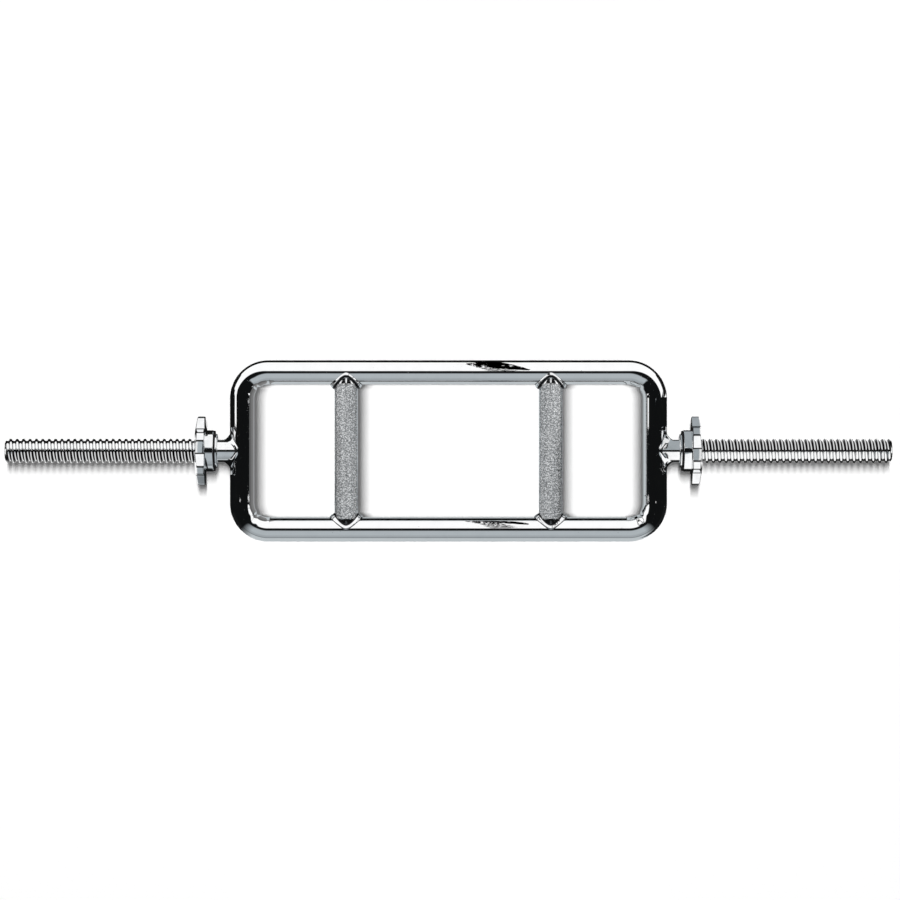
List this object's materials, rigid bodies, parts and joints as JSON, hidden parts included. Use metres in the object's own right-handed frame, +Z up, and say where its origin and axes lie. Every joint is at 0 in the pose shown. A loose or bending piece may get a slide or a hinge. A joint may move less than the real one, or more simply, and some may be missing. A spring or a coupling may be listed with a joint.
{
  "type": "triceps bar",
  "caption": "Chromed steel triceps bar: a rounded loop with two knurled cross handles, threaded plate posts on both ends and star nuts with rubber rings.",
  "frame": {"origin": "middle of the bar: halfway between the two end faces, on the threaded ends' common axis", "axes": "+X along the threaded ends to the right one, +Y across the loop to its rear rail, +Z up out of the loop's plane"},
  "size_m": [0.88, 0.18, 0.0652],
  "materials": {
    "chrome_bar": "bright polished chrome plate on bent round bar",
    "threaded_chrome": "chrome plate on a rolled thread, duller in the roots",
    "knurled_chrome": "fine diamond knurl under chrome plate, satin grey",
    "chrome_weld": "weld bead ground smooth and chrome plated",
    "cast_chrome": "casting, tumbled and chrome plated",
    "black_rubber": "matt black rubber"
  },
  "bodies": {
    "bar": {"loop_half_left": "chrome_bar", "loop_half_right": "chrome_bar", "rear_rail_weld": "chrome_weld", "front_rail_weld": "chrome_weld", "left_handle": "knurled_chrome", "right_handle": "knurled_chrome", "left_handle_rear_weld": "chrome_weld", "left_handle_front_weld": "chrome_weld", "right_handle_rear_weld": "chrome_weld", "right_handle_front_weld": "chrome_weld", "left_threaded_end": "threaded_chrome", "right_threaded_end": "threaded_chrome", "left_end_weld": "chrome_weld", "right_end_weld": "chrome_weld"},
    "left_ring": {"left_rubber_ring": "black_rubber"},
    "left_nut": {"left_star_nut": "cast_chrome"},
    "right_ring": {"right_rubber_ring": "black_rubber"},
    "right_nut": {"right_star_nut": "cast_chrome"}
  },
  "joints": [
    {"name": "left_nut_slide", "type": "slide", "parent": "bar", "child": "left_ring", "axis": [-1, 0, 0], "range_m": [0, 0.216]},
    {"name": "left_nut_turn", "type": "hinge", "parent": "left_ring", "child": "left_nut", "pos_m": [-0.2403, 0, 0], "axis": [-1, 0, 0], "range_deg": [0, 12240]},
    {"name": "right_nut_slide", "type": "slide", "parent": "bar", "child": "right_ring", "axis": [1, 0, 0], "range_m": [0, 0.216]},
    {"name": "right_nut_turn", "type": "hinge", "parent": "right_ring", "child": "right_nut", "pos_m": [0.2403, 0, 0], "axis": [1, 0, 0], "range_deg": [0, 12240]}
  ],
  "couplings": [
    {"joint": "left_nut_slide", "follows": "left_nut_turn", "m_per_rad": 0.0010106},
    {"joint": "right_nut_slide", "follows": "right_nut_turn", "m_per_rad": 0.0010106}
  ]
}
